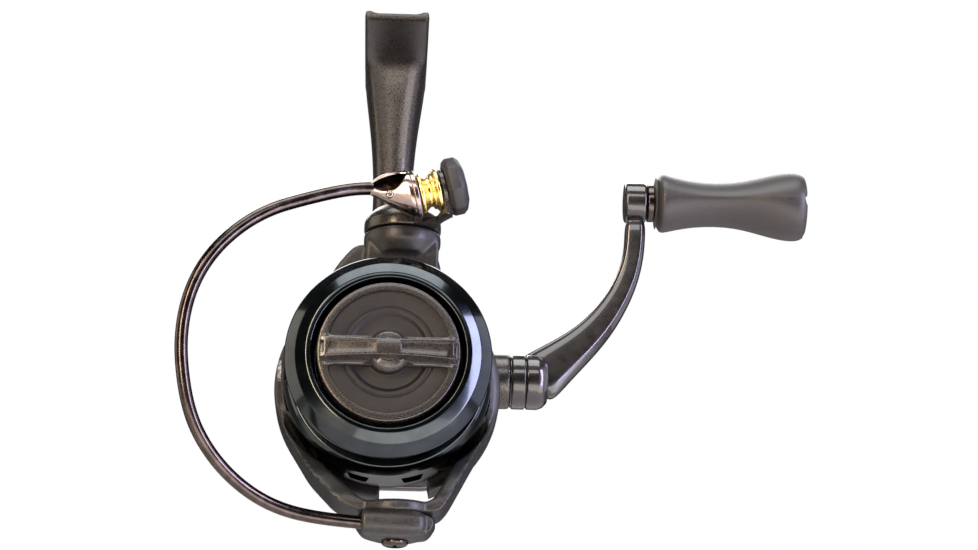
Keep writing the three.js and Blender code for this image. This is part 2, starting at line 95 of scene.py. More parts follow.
# %% Selecting and finishing
def clear():
    if bpy.context.object and bpy.context.object.mode != "OBJECT":
        bpy.ops.object.mode_set(mode="OBJECT")
    bpy.ops.object.select_all(action="DESELECT")


def pick(piece):
    clear()
    piece.select_set(True)
    bpy.context.view_layer.objects.active = piece


def settle(piece):
    """Back to object mode, with the place in the mesh and the normals outwards."""
    bpy.ops.mesh.select_all(action="SELECT")
    bpy.ops.mesh.remove_doubles(threshold=0.002 * MM)
    bpy.ops.mesh.normals_make_consistent(inside=False)
    pick(piece)
    bpy.ops.object.transform_apply(location=True, rotation=True, scale=True)
    return piece


def settle_solid(piece):
    pick(piece)
    bpy.ops.object.mode_set(mode="EDIT")
    return settle(piece)


def apply(piece, kind, **settings):
    pick(piece)
    modifier = piece.modifiers.new(kind.lower(), kind)
    for key, value in settings.items():
        setattr(modifier, key, value)
    bpy.ops.object.modifier_apply(modifier=modifier.name)
    return piece


# %% Drawing outlines
def first_point(name, place):
    clear()
    bpy.ops.mesh.primitive_plane_add(size=MM, location=place)
    piece = bpy.context.object
    piece.name = name
    piece.data.name = name
    bpy.ops.object.mode_set(mode="EDIT")
    bpy.ops.mesh.select_mode(type="VERT")
    bpy.ops.mesh.select_all(action="SELECT")
    bpy.ops.mesh.merge(type="CENTER")
    return piece


def pull(places):
    for before, after in zip(places, places[1:]):
        bpy.ops.mesh.extrude_vertices_move(TRANSFORM_OT_translate={"value": after - before})


def rounded(points, radius, steps=4, closed=False):
    """The same outline with each corner turned into a short curve."""
    count = len(points)
    result = []
    for i, corner in enumerate(points):
        if not closed and i in (0, count - 1):
            result.append(tuple(corner))
            continue
        here = Vector(corner)
        before = Vector(points[i - 1])
        after = Vector(points[(i + 1) % count])
        start = here + (before - here).normalized() * min(radius, (before - here).length * 0.45)
        end = here + (after - here).normalized() * min(radius, (after - here).length * 0.45)
        for k in range(steps + 1):
            t = k / steps
            result.append(tuple(start * (1 - t) ** 2 + here * 2 * t * (1 - t) + end * t * t))
    return result


def oval(centre, across, up, width, height, power=2.0, count=32):
    """Places round a superellipse: power 2 is an ellipse, and 4 is nearly a rounded box."""
    places = []
    for i in range(count):
        turn = math.tau * i / count
        c = math.cos(turn)
        s = math.sin(turn)
        sideways = math.copysign(abs(c) ** (2 / power), c) * width / 2
        upwards = math.copysign(abs(s) ** (2 / power), s) * height / 2
        places.append(at(*centre) + (across * sideways + up * upwards) * MM)
    return places


# %% Turning, thickening and bridging
def turned(name, outline, centre=(0, 0, 0), along=BACK, across=RIGHT, steps=96, closed=True):
    """An outline of (radius, distance along) spun right round, as on a lathe."""
    middle = at(*centre)
    points = list(outline) + ([outline[0]] if closed else [])
    places = [middle + (across * r + along * s) * MM for r, s in points]
    piece = first_point(name, places[0])
    pull(places)
    bpy.ops.mesh.select_all(action="SELECT")
    bpy.ops.mesh.spin(steps=steps, angle=math.tau, center=middle, axis=along)
    return settle(piece)


def slab(name, places, thickness):
    """A flat outline filled and extruded by a vector in millimetres."""
    piece = first_point(name, places[0])
    pull(places)
    bpy.ops.mesh.select_all(action="SELECT")
    bpy.ops.mesh.edge_face_add()
    bpy.ops.mesh.extrude_region_move(TRANSFORM_OT_translate={"value": thickness * MM})
    return settle(piece)


def front_slab(name, outline, near, far):
    return slab(name, [at(x, near, z) for x, z in outline], BACK * (far - near))


def side_slab(name, outline, left, right):
    return slab(name, [at(left, y, z) for y, z in outline], RIGHT * (right - left))


def plan_slab(name, outline, low, high):
    return slab(name, [at(x, y, low) for x, y in outline], UP * (high - low))


def bridged(name, rings, caps=True):
    """A skin over several outlines that all have the same number of points."""
    piece = None
    for places in rings:
        if piece is None:
            piece = first_point(name, places[0])
        else:
            bpy.ops.mesh.select_all(action="DESELECT")
            bpy.ops.mesh.primitive_plane_add(size=MM, location=places[0])
            bpy.ops.mesh.merge(type="CENTER")
        pull(list(places) + [places[0]])
    bpy.ops.mesh.select_all(action="SELECT")
    bpy.ops.mesh.remove_doubles(threshold=0.002 * MM)
    bpy.ops.mesh.bridge_edge_loops()
    if caps:
        bpy.ops.mesh.select_all(action="SELECT")
        bpy.ops.mesh.fill_holes(sides=0)
    return settle(piece)


# %% Cutting, joining and softening
def cut(piece, *cutters):
    for cutter in cutters:
        apply(piece, "BOOLEAN", operation="DIFFERENCE", solver="EXACT", object=cutter)
        bpy.data.objects.remove(cutter)
    return piece


def keep(piece, *others):
    for other in others:
        apply(piece, "BOOLEAN", operation="INTERSECT", solver="EXACT", object=other)
        bpy.data.objects.remove(other)
    return piece


def weld(piece, *others):
    for other in others:
        apply(piece, "BOOLEAN", operation="UNION", solver="EXACT", object=other)
        bpy.data.objects.remove(other)
    return piece


def soften(piece, width, segments=3, angle=32):
    apply(piece, "BEVEL", width=width * MM, segments=segments, limit_method="ANGLE",
          angle_limit=math.radians(angle), use_clamp_overlap=True)
    return piece


def cast(piece, grain, passes):
    """A casting's soft corners: the whole shape is skinned again in small squares and then relaxed."""
    apply(piece, "REMESH", mode="VOXEL", voxel_size=grain * MM)
    apply(piece, "SMOOTH", factor=0.5, iterations=passes)
    return piece


def smooth(piece, angle=38):
    pick(piece)
    bpy.ops.object.shade_smooth_by_angle(angle=math.radians(angle))
    return piece


def gather(name, pieces):
    pick(pieces[0])
    for piece in pieces:
        piece.select_set(True)
    bpy.ops.object.join()
    whole = bpy.context.object
    whole.name = name
    whole.data.name = name
    return whole


def triangles(piece):
    piece.data.calc_loop_triangles()
    return len(piece.data.loop_triangles)


# %% [markdown]
# Finishes. Each one starts from the real material. A hex colour is what a designer would pick on a screen, so it
# is turned to linear light first. Patterns read Object coordinates, which are metres in the frame, so their
# scale is one over a real size.

# %% Colour and node helpers
def linear(hex_colour):
    parts = [int(hex_colour[i:i + 2], 16) / 255 for i in (1, 3, 5)]
    return [p / 12.92 if p <= 0.04045 else ((p + 0.055) / 1.055) ** 2.4 for p in parts] + [1]


def node(material, kind, links=(), **settings):
    """Adds a node, sets its properties or sockets by name, and links (socket, source node, source output)."""
    made = material.node_tree.nodes.new(kind)
    for key, value in settings.items():
        if hasattr(made, key):
            setattr(made, key, value)
        else:
            made.inputs[key.replace("_", " ")].default_value = value
    for socket, source, output in links:
        material.node_tree.links.new(source.outputs[output], made.inputs[socket])
    return made


def finish(name, colour, metallic, roughness, **more):
    """A material with its shader's plain sockets set. Patterns are added afterwards."""
    material = bpy.data.materials.new(name)
    material.use_nodes = True
    shader = material.node_tree.nodes["Principled BSDF"]
    values = {"Base Color": linear(colour), "Metallic": metallic, "Roughness": roughness}
    values.update({key.replace("_", " "): value for key, value in more.items()})
    for socket, value in values.items():
        shader.inputs[socket].default_value = value
    return material


def pattern(material, grain_mm, colours, roughness, bump_mm=0.0, stops=(0.35, 0.65), detail=3.0):
    """Noise of a real grain size that varies the colour, the roughness and the height."""
    shader = material.node_tree.nodes["Principled BSDF"]
    place = node(material, "ShaderNodeTexCoord")
    noise = node(material, "ShaderNodeTexNoise", [("Vector", place, "Object")],
                 Scale=1 / (grain_mm * MM), Detail=detail, Roughness=0.6)
    tint = node(material, "ShaderNodeValToRGB", [("Fac", noise, "Fac")])
    tint.color_ramp.elements[0].position = stops[0]
    tint.color_ramp.elements[1].position = stops[1]
    tint.color_ramp.elements[0].color = linear(colours[0])
    tint.color_ramp.elements[1].color = linear(colours[1])
    shine = node(material, "ShaderNodeMapRange", [("Value", noise, "Fac")],
                 From_Min=stops[0], From_Max=stops[1], To_Min=roughness[0], To_Max=roughness[1])
    links = material.node_tree.links
    links.new(tint.outputs["Color"], shader.inputs["Base Color"])
    links.new(shine.outputs["Result"], shader.inputs["Roughness"])
    if bump_mm:
        bump = node(material, "ShaderNodeBump", [("Height", noise, "Fac")], Distance=bump_mm * MM, Strength=1.0)
        links.new(bump.outputs["Normal"], shader.inputs["Normal"])
    return material


# %% [markdown]
# The body and bail lever are cast metal under a metallic black-grey paint. Its flakes are about 0.1 mm across,
# drawn here at about 0.26 mm so that they show as the fine speckle that the eye sees.

# %% Speckled metallic paint
speckled = finish("speckled metallic paint", "#2B2A27", 0.8, 0.32, Coat_Weight=0.3, Coat_Roughness=0.2)
pattern(speckled, 0.26, ("#211E1C", "#5E5954"), (0.25, 0.38), 0.012, (0.35, 0.72))

# %% [markdown]
# The rotor is a carbon-filled composite, moulded with a fine satin grain that scatters light a little unevenly.

# %% Satin composite
composite = finish("satin carbon composite", "#242423", 0.1, 0.46, IOR=1.52)
pattern(composite, 0.5, ("#131312", "#282725"), (0.34, 0.48), 0.012)

# %% [markdown]
# Anodised aluminium is dyed metal under a hard clear oxide. Deep black dye leaves a dark mirror with cool
# reflections. The lathe leaves rings too fine to see one by one, so they only stir the roughness.

# %% Black anodised aluminium
anodised = finish("black anodised aluminium", "#2B3134", 1.0, 0.16, Coat_Weight=0.4, Coat_Roughness=0.06)
pattern(anodised, 6, ("#282E31", "#33393C"), (0.14, 0.19), 0.0)

# %% [markdown]
# The drag knob is glass-filled nylon with metal flake in it: brown-grey and shiny where fingers polish it, and
# half matt on its floors, where the mould is etched. The floors are also painted darker, as painted shade in the
# recesses.

# %% Flake-filled nylon
knob_nylon = finish("flake-filled nylon", "#2C2926", 0.3, 0.34, IOR=1.53, Coat_Weight=0.6, Coat_Roughness=0.18)
pattern(knob_nylon, 0.28, ("#110F0D", "#3B3631"), (0.24, 0.36), 0.01)
# The floor finish is the same nylon painted darker: painted shade for the recessed floors.
knob_floor_painted_shade = finish("flake-filled nylon, painted shade", "#191715", 0.3, 0.46, IOR=1.53)
pattern(knob_floor_painted_shade, 0.28, ("#060505", "#1E1B19"), (0.4, 0.56), 0.03)

# %% [markdown]
# Black nickel plate on steel wire is a dark, faintly brown mirror. The pressed cone is the same plate painted
# lighter, as a painted reflection of a bright light.

# %% Black nickel, and a lighter copy of it with a painted reflection
black_nickel = finish("black nickel plate", "#4C4441", 1.0, 0.2)
pattern(black_nickel, 2.5, ("#433C39", "#564D49"), (0.16, 0.24), 0.0)
# A lighter copy of black nickel: a painted reflection for the cone's bright face.
nickel_painted_reflection = finish("black nickel, painted reflection", "#94877F", 1.0, 0.2)
pattern(nickel_painted_reflection, 2.5, ("#897B74", "#9F928B"), (0.16, 0.25), 0.0)

# %% [markdown]
# Titanium nitride is a hard gold-coloured coating only microns thick, so it keeps the polish of the steel below.

# %% Gold titanium nitride
gold = finish("gold titanium nitride", "#E8CB80", 1.0, 0.27)
pattern(gold, 1.2, ("#E0C070", "#F0D692"), (0.23, 0.31), 0.0)

# %% [markdown]
# Small caps and covers are moulded in matt black plastic with a fine spark-eroded texture.

# %% Matt moulded plastic
matt_plastic = finish("matt moulded ABS", "#1A1A1B", 0.0, 0.55, IOR=1.53)
pattern(matt_plastic, 0.35, ("#0E0E0F", "#1D1D1E"), (0.42, 0.6), 0.03)

# %% [markdown]
# The crank is painted gloss black-brown under a clear coat. The paint lies in very soft waves.

# %% Gloss paint
gloss_paint = finish("gloss black-brown paint", "#1A1512", 0.3, 0.3, Coat_Weight=1.0, Coat_Roughness=0.06)
pattern(gloss_paint, 3.0, ("#15110F", "#211B17"), (0.26, 0.36), 0.0)

# %% [markdown]
# The grip is soft-touch rubber: a matt skin that scatters light at its edges, with a barely felt grain.

# %% Soft-touch rubber
rubber = finish("soft-touch rubber", "#2B2826", 0.0, 0.5, IOR=1.5, Sheen_Weight=0.08, Sheen_Roughness=0.5)
pattern(rubber, 0.4, ("#1C1A18", "#292623"), (0.36, 0.5), 0.02)

# %% [markdown]
# Steel, brass and felt are for the works inside and for the screws.

# %% Steel, brass and felt
steel = finish("stainless steel", "#B4B4B6", 1.0, 0.3)
pattern(steel, 0.8, ("#A4A4A7", "#C4C4C5"), (0.24, 0.38), 0.0)
brass = finish("machined brass", "#C9A15A", 1.0, 0.28)
pattern(brass, 0.9, ("#B98F48", "#D6B26C"), (0.22, 0.36), 0.0)
felt = finish("greased felt", "#7C7465", 0.0, 0.9, Sheen_Weight=0.5)
pattern(felt, 0.3, ("#6A6355", "#8E8676"), (0.85, 0.95), 0.06)

FINISHES = {
    "speckled_paint": speckled, "rotor_composite": composite, "black_anodised": anodised,
    "knob_plastic": knob_nylon, "black_nickel": black_nickel, "gold_nitride": gold,
    "matt_black_plastic": matt_plastic, "gloss_paint": gloss_paint, "soft_rubber": rubber,
    "steel": steel, "brass": brass, "drag_felt": felt,
}
for subpart in frame["record"]["subparts"]:
    skin = NODES[subpart["node"]].data.materials
    skin.clear()
    skin.append(FINISHES[subpart["material_slot"]])
print("finishes:", len(FINISHES))


def seat(piece, slot, body, *nodes, angle=38, skin=None):
    """Gives a piece its finish and the body it rides on, in place of the nodes it stands for."""
    smooth(piece, angle)
    piece.data.materials.clear()
    piece.data.materials.append(skin or FINISHES[slot])
    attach(piece, body)
    if nodes:
        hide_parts(*nodes)
    print(piece.name, triangles(piece), "triangles")
    return piece


# %% [markdown]
# The spool is turned from bar: a bevelled lip that the line flies over, a groove that holds the line, and a
# skirt that covers the rotor's neck. One outline spun round the axis gives all of it, and the light on the
# bevels depends on its small corner curves.

# %% Spool
LIP = 23
SKIRT = 24
ARBOR = 14.5
BUSHING_BORE = 4.3
spool_outline = [
    (12.6, 10), (12.6, 4.9), (16.6, 4.9), (16.9, -0.5), (17.2, -1), (18.2, -0.95), (20.6, 0.3), (22.7, 2.7),
    (LIP, 3.2), (LIP, 3.7), (22.2, 4.3), (ARBOR + 1, 5.4), (ARBOR, 6.2), (ARBOR, 14), (ARBOR + 0.8, 14.8),
    (22.2, 15.4), (22.9, 16.4), (23.5, 19), (SKIRT, 27.4), (SKIRT, SKIRT_REAR), (22.7, SKIRT_REAR), (22.2, 18.2),
    (12.8, 17.6), (12.8, 12.4), (6.4, 12.4), (6.4, 20), (BUSHING_BORE, 20), (BUSHING_BORE, 10),
]
spool = turned("spool_shell", rounded(spool_outline, 0.3, closed=True), steps=144)

# %% [markdown]
# Twelve ports lighten the skirt. Each cutter is a tapered window, narrower at the back, pushed through the wall.

# %% Ports in the skirt
PORTS = 12
CUTTER_START = 21.4
CUTTER_DEPTH = 4
window = rounded([(-2.6, 21.6), (2.6, 21.6), (1.9, 25.8), (-1.9, 25.8)], 0.5, closed=True)
cutters = []
for number in range(PORTS):
    turn = math.tau * (number + 0.5) / PORTS
    outwards = RIGHT * math.sin(turn) - UP * math.cos(turn)
    sideways = RIGHT * math.cos(turn) + UP * math.sin(turn)
    places = [AXIS + (outwards * CUTTER_START + sideways * x + BACK * y) * MM for x, y in window]
    cutters.append(slab("port", places, outwards * CUTTER_DEPTH))
cut(spool, gather("ports", cutters))
seat(spool, "black_anodised", "spool", "spool")

# %% [markdown]
# The drag knob is a moulded cap. Its floor is stepped in rings round a central boss, and a grip bar with two
# sunk panels crosses it from rim to rim.

# %% Drag knob cap
KNOB = 15.8
knob_outline = [
    (0, -3.2), (2.6, -3.1), (4, -2.6), (4.8, -1.6), (5.1, -0.1), (8.2, -0.1), (9, -0.75), (9.9, -0.8),
    (10, -0.5), (10.3, -0.5), (10.4, -0.8), (14.6, -0.8), (14.8, -1.3), (15.6, -1.2), (KNOB, -0.9), (KNOB, 4.2),
    (13.4, 4.2), (13.4, 3.4), (4.4, 3.4), (4.4, 0.6), (0, 0.6),
]
knob = turned("drag_knob_cap", rounded(knob_outline, 0.16, 3), closed=False, steps=128)

# %% The two half-moon floors
FLOOR_RADIUS = 14
FLOOR_EDGE = 3.3
frame_plate = turned("half_moon_frame", [(0, -1.6), (15.2, -1.6), (15.2, 0.1), (0, 0.1)], closed=False, steps=128)
edge = math.asin(FLOOR_EDGE / FLOOR_RADIUS)
for side in (-1, 1):
    half_moon = [(FLOOR_RADIUS * math.cos(a), side * FLOOR_RADIUS * math.sin(a))
                 for a in [edge + (math.pi - 2 * edge) * k / 40 for k in range(41)]]
    arc = half_moon[3:-3]
    corners = [arc[0], half_moon[0], half_moon[-1], arc[-1]]
    outline = rounded(corners, 1.6, 5)[1:-1] + arc[::-1]
    cut(frame_plate, front_slab("half_moon", outline, -2, 0.5))
soften(frame_plate, 0.35, 4)


# %% Grip bar across the knob
BAR_REACH = 15


def bar_section(x):
    """The bar is widest and lowest at the rim, and narrowest and highest in the middle."""
    out = abs(x) / BAR_REACH
    front = -5.5 + 1.1 * out ** 2
    half = 1.8 + 0.55 * out ** 2
    points = [(front, -half), (front, half), (0.2, half + 0.45), (0.2, -half - 0.45)]
    return [at(x, y, z) for y, z in points]


bar = bridged("grip_bar", [bar_section(-BAR_REACH + 2 * BAR_REACH * k / 24) for k in range(25)])
panels = []
for side in (-1, 1):
    sunk = [(side * 2.7, -1.05), (side * 13.6, -1.35), (side * 13.6, 1.35), (side * 2.7, 1.05)]
    panel_rings = []
    for x, depth in ((2.7, -5.1), (5.4, -5), (8.1, -4.83), (10.9, -4.5), (13.6, -4.15)):
        half = 1.05 + 0.3 * (x - 2.7) / 10.9
        ring = [(depth, -half), (depth, half), (-8, half), (-8, -half)]
        panel_rings.append([at(side * x, y, z) for y, z in ring])
    panels.append(bridged("panel", panel_rings))
    notch = [(side * 14.2, -1.3), (side * 16.5, -1.3), (side * 16.5, 1.3), (side * 14.2, 1.3)]
    panels.append(front_slab("notch", notch, -8, -1.9))
cut(bar, gather("sunk_panels", panels))
soften(bar, 0.22, 3)
weld(knob, frame_plate, bar)
seat(knob, "knob_plastic", "drag_knob", "drag_knob", angle=32)

# %% Darker floors in the knob: painted shade in the recesses
# Every face that lies deeper than the frame, and inside it, takes the darker finish: painted shade in the recessed
# floors.
FLOOR_DEPTH = -1
knob.data.materials.append(knob_floor_painted_shade)
for face in knob.data.polygons:
    place = from_axis(face.center)
    if place.y > FLOOR_DEPTH and math.hypot(place.x, place.z) < FLOOR_RADIUS + 0.2:
        face.material_index = 1

# %% [markdown]
# The rotor carries the bail round the spool. It is one moulding: a cup with a neck that the skirt covers, one
# broad arm above and a forked arm below with a window in it. The shapes are cut out of flat slabs seen from
# the front and from the side, and the whole is then skinned again so that every corner is soft.

# %% Rotor cup
ROTOR_RADIUS = 26.1
SWEEP = 25.1
cup_outline = [
    (4.3, 31), (18.8, 31), (18.8, 19.6), (20.6, 19.6), (21.2, 30), (24.7, 31), (ROTOR_RADIUS, 32),
    (ROTOR_RADIUS, 41), (25, 42), (23.7, 42), (23.7, 34.6), (4.3, 34.6),
]
rotor = turned("rotor_shell", rounded(cup_outline, 0.5, 3, closed=True), steps=120)

# %% Rotor arms
# Both arms end in a round boss about the bail's pivot. The upper one is bevelled underneath. No two of these
# solids share a plane, so that joining them gives the same result each time.
arm_front = [(-5.8, 20), (-5.8, 30.6), (-4, 32.5), (9, 32.5), (10.8, 30.6), (10.8, 20)]
flare_front = [(-19, 14), (-15.4, 22), (-11.8, 28), (-8.8, 31.6), (-7, 32.3), (9.4, 32.3), (11.4, 28),
               (13.4, 14)]
arm_side = [(15, 20.2), (13, 27.6), (13.4, 33.6), (27, 33.6), (41.6, 27), (41.6, 14.3), (30, 14.3)]
flare_side = [(16, 19), (14.2, 27.8), (14.8, 34), (27.4, 34), (41.3, 26.8), (41.3, 12), (29, 12)]
upper = front_slab("upper_arm", rounded(arm_front, 1.2, closed=True), 6, 43)
keep(upper, side_slab("upper_side", rounded(arm_side, 0.8, closed=True), -20, 20))
flare = front_slab("upper_flare", rounded(flare_front, 1.5, closed=True), 24, 43)
keep(flare, side_slab("flare_side", rounded(flare_side, 0.8, closed=True), -21, 21))
boss_outline = [(0, 27.2), (6.9, 27.2), (8.7, 29.8), (8.8, 30), (8.8, 32.3), (8.5, 32.6), (0, 32.6)]
upper_boss = turned("upper_boss", rounded(boss_outline, 0.3), PIVOT[:], UP, RIGHT, 72, closed=False)

fork_front = [(-25.3, 2), (-25.2, -5), (-23.2, -12), (-17.2, -23), (-11, -30.4), (-6, -33), (11.6, -33),
              (14, -30.4), (18.4, -21), (22.6, -12), (25.2, -4), (25.2, 2)]
fork_gap = [(-21, -7), (-13.4, -22), (-6.2, -29.2), (-4.4, -30.5), (9.6, -30.5), (11.2, -29.2), (15, -21),
            (20.6, -7)]
fork_side = [(32, -1), (41.45, -1), (41.45, -12), (26.4, -33.8), (12, -33.8), (12, -29), (16, -24), (30, -9)]
fork = front_slab("fork", rounded(fork_front, 2.5, 5, closed=True), 5, 43)
cut(fork, front_slab("fork_gap", rounded(fork_gap, 1.6, 5, closed=True), 0, 45))
keep(fork, side_slab("fork_side", rounded(fork_side, 2, closed=True), -30, 30))
lower_outline = [(0, -33.1), (8.5, -33.1), (8.9, -32.7), (8.9, -31), (8.4, -30.4), (0, -30.4)]
lower_boss = turned("lower_boss", rounded(lower_outline, 0.3), PIVOT[:], UP, RIGHT, 72, closed=False)
weld(upper, flare, upper_boss)
weld(upper, fork, lower_boss)
cut(upper, turned("sweep", [(0, 0), (SWEEP, 0), (SWEEP, 30.3), (24.4, 30.3), (24.4, 45), (0, 45)],
                  closed=False, steps=120))
weld(rotor, upper)
cutaway = rounded([(-1.7, -29), (-1, -21.6), (9.8, -21.6), (10.6, -29)], 0.8, closed=True)
cut(rotor, front_slab("cutaway", cutaway, 30.6, 45))
cast(rotor, 0.42, 5)
seat(rotor, "rotor_composite", "rotor", "rotor", "arm_cover", angle=50)

# %% [markdown]
# The casting of foot, stem and gearbox. The stem is a skin bridged over superellipses, wide at the foot and
# slim in the middle. The gearbox is a rounded box with a collar in front and a boss on the right for the axle.

# %% Stem and gearbox
stem_stations = [
    (81.2, 5.6, 57, 7.3, 12), (80.4, 7, 56, 7.35, 12), (79.9, 14, 55, 7.35, 10), (79.4, 21.4, 53.2, 7.35, 7),
    (79, 24.4, 52, 7.3, 5.5), (78.4, 25.8, 51, 7.25, 4.6), (77.2, 27.2, 50.2, 7.15, 3.8), (73, 29.9, 50.4, 6.7, 3),
    (66, 35, 51.8, 5.6, 2.7), (59, 39.7, 54, 4.9, 2.6), (51.5, 43, 57, 4.6, 2.6),
    (42, 44.6, 59.4, 4.9, 2.8), (33, 44.9, 61, 6, 2.8), (26, 45, 62, 8, 2.8), (19, 45, 64, 10, 2.8),
]
stem_rings = []
for z, front, rear, half, power in stem_stations:
    stem_rings.append(oval((0, (front + rear) / 2, z), RIGHT, BACK, half * 2, rear - front, power, 64))
stem = bridged("stem", stem_rings)
apply(stem, "SUBSURF", levels=1, render_levels=1)
box_side = [(45, 25), (43.3, 22.5), (43.3, -10), (46, -13.5), (78, -13.5), (84, -8), (84, 12), (76, 22.6),
            (62, 26)]
box_front = [(-9, -13.65), (12, -13.65), (15, -10), (15, 19), (10, 25), (6, 30), (-6, 30), (-9, 24)]
box = side_slab("gearbox", rounded(box_side, 4, 5, closed=True), -10, 16)
keep(box, front_slab("box_front", rounded(box_front, 3, 4, closed=True), 30, 90))
boss = turned("axle_boss", rounded([(0, 10), (7.6, 10), (6.7, 18), (6.7, 29.2), (0, 29.2)], 0.5),
              (0, CRANK_Y, CRANK_Z), RIGHT, UP, 64, closed=False)
collar = turned("front_collar", [(0, 36.8), (20.4, 36.8), (20.8, 37.2), (20.8, 43.6), (0, 43.6)], steps=96,
                closed=False)
weld(stem, box, collar)
hollow = [(44, 21.4), (44, -9), (46.5, -11), (77, -11), (81.4, -7), (81.4, 10), (75, 20), (62, 22)]
cut(stem, side_slab("gear_bay", rounded(hollow, 2, closed=True), -12, 12))

# %% [markdown]
# The foot slides under the hoods of a rod's reel seat. Its top is hollowed to fit the round rod, and it thins
# towards both ends. It is part of the same casting, so one fine skin is drawn over foot, stem and box together.

# %% Foot
SEAT = 82
HOLLOW = 0.9
FOOT_HALF = 7.4


def foot_section(y, under, half):
    """One slice across the foot: hollow on top, and flat below with small bevels."""
    top = []
    for k in range(9):
        x = -half + half * 2 * k / 8
        top.append((x, SEAT + HOLLOW * (x / FOOT_HALF) ** 2))
    bottom = [(half, under + 0.3), (half - 0.3, under), (half * 0.5, under), (0, under), (-half * 0.5, under),
              (-half + 0.3, under), (-half, under + 0.3)]
    return [at(x, y, z) for x, z in top + bottom]


foot_stations = [(5, 80.9, FOOT_HALF), (5.3, 80.6, FOOT_HALF), (16, 80.2, FOOT_HALF), (24, 80, FOOT_HALF),
                 (36, 79.8, FOOT_HALF), (46, 80, 7.3), (55, 80.3, 6.6), (62, 80.5, 6), (66, 80.6, 5.4),
                 (68, 80.8, 4.2)]
foot = bridged("foot", [foot_section(*station) for station in foot_stations])
weld(stem, foot, boss)
cast(stem, 0.5, 2)
stem.name = "cast_body"
seat(stem, "speckled_paint", "body", "body_housing", angle=42)

# %% [markdown]
# Side cover, its screws, the cap over the axle bearing and the guard on the back of the gearbox.

# %% Covers and caps on the body
cover_outline = [(43.7, 22.2), (43.7, -10), (46.2, -13.1), (78, -13.1), (83.8, -8), (83.8, 12), (76, 22.6)]
cover = side_slab("side_cover_shell", rounded(cover_outline, 4, 6, closed=True), -14, -9.3)
soften(cover, 1.4, 4, 40)
dish = [(46, 19), (46, -7.5), (48, -10.5), (76.5, -10.5), (81, -6.5), (81, 10.6), (74.6, 19.6)]
cut(cover, side_slab("cover_dish", rounded(dish, 4, 6, closed=True), -16, -13.5))
hub_outline = rounded([(0, 10), (7.4, 10), (7.4, 16.6), (6.9, 17), (6, 17), (5.8, 16.5), (0, 16.5)], 0.25)
weld(cover, turned("bearing_hub", hub_outline, (0, CRANK_Y, CRANK_Z), -RIGHT, UP, 64, closed=False))
seat(cover, "speckled_paint", "body", "side_cover")

cap_outline = rounded([(0, 16.6), (5.6, 16.6), (5.6, 18.2), (4.2, 18.8), (3.6, 18.8), (3.4, 18.3), (0, 18.3)], 0.3)
axle_cap = turned("axle_cap_disc", cap_outline, (0, CRANK_Y, CRANK_Z), -RIGHT, UP, 64, closed=False)
seat(axle_cap, "matt_black_plastic", "body", "axle_cap")

guard_outline = [(-9, -8), (-6, -12.4), (11.5, -12.4), (14, -9), (14, 9), (9, 16.5), (-9, 16.5)]
guard = front_slab("rear_guard_plate", rounded(guard_outline, 3, 6, closed=True), 84.3, 87)
soften(guard, 0.9, 4, 40)
seat(guard, "gloss_paint", "body", "rear_guard")


# %% [markdown]
# Every visible screw has a domed head with a cross recess, made once and reused at each place.

# %% Screws
def screw_head(name, place, along, radius, height):
    """A domed head whose underside is at the place, pointing along the axis, with a cross cut into it."""
    upright_axis = abs(along.z) > 0.5
    across = RIGHT if upright_axis else UP
    other = along.cross(across)
    outline = [(0, -0.4), (radius, -0.4), (radius, height * 0.45), (radius * 0.7, height * 0.9), (0, height)]
    head = turned(name, rounded(outline, radius * 0.25), place, along, across, 40, closed=False)
    for one, two in ((across, other), (other, across)):
        long = radius * 0.62
        thin = radius * 0.14
        start = at(*place) + along * height * 0.5 * MM
        corners = [(-long, -thin), (long, -thin), (long, thin), (-long, thin)]
        cut(head, slab("recess", [start + (one * a + two * b) * MM for a, b in corners], along * height))
    return head


for number in (1, 2, 3):
    low, high = [from_axis(corner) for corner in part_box(f"cover_screw_{number}")]
    place = (-14.1, (low.y + high.y) / 2, (low.z + high.z) / 2)
    head = screw_head(f"cover_screw_head_{number}", place, -RIGHT, 1.8, 1.1)
    seat(head, "steel", "body", f"cover_screw_{number}", skin=black_nickel)
guard_screw = screw_head("guard_screw_head", (4, 87, 2), BACK, 1.9, 1.3)
seat(guard_screw, "steel", "body", "guard_screw", skin=black_nickel)

# %% [markdown]
# The handle: a hub on the axle, a crank that sweeps up in an S and narrows, and a round boss at its end that
# holds the grip's post. The crank is a skin over sections that follow the curve of its middle line. Each
# station of the line gives x, z, the width across the curve and the depth from front to back.

# %% Crank
hub_outline = [(0, 32.4), (6.2, 32.4), (6.2, 33.1), (6.5, 33.2), (6.7, 33.5), (6.7, 36), (6.2, 37.2), (5, 38.3),
               (0, 38.4)]
crank = turned("crank", rounded(hub_outline, 0.4), (0, CRANK_Y, CRANK_Z), RIGHT, UP, 72, closed=False)
middle_line = [(34.4, 8.2, 13, 7.6), (37.4, 10.6, 12.4, 7.4), (41.4, 13.9, 10.4, 7.1), (46.2, 17.9, 8.6, 6.9),
               (50.6, 22.5, 7.4, 6.7), (54.2, 27.6, 6.3, 6.6), (57, 33, 5.6, 6.5), (58.9, 39, 5.1, 6.4),
               (59.5, 45, 5, 6.4), (59.5, 51, 5.1, 6.8)]
CRANK_SECTION = [(-0.5, 0.2), (-0.44, 0.42), (-0.3, 0.5), (0.24, 0.5), (0.42, 0.4), (0.5, 0.2), (0.5, -0.2),
                 (0.48, -0.3), (0.32, -0.47), (0.26, -0.5), (-0.36, -0.5), (-0.46, -0.42), (-0.5, -0.28)]
crank_rings = []
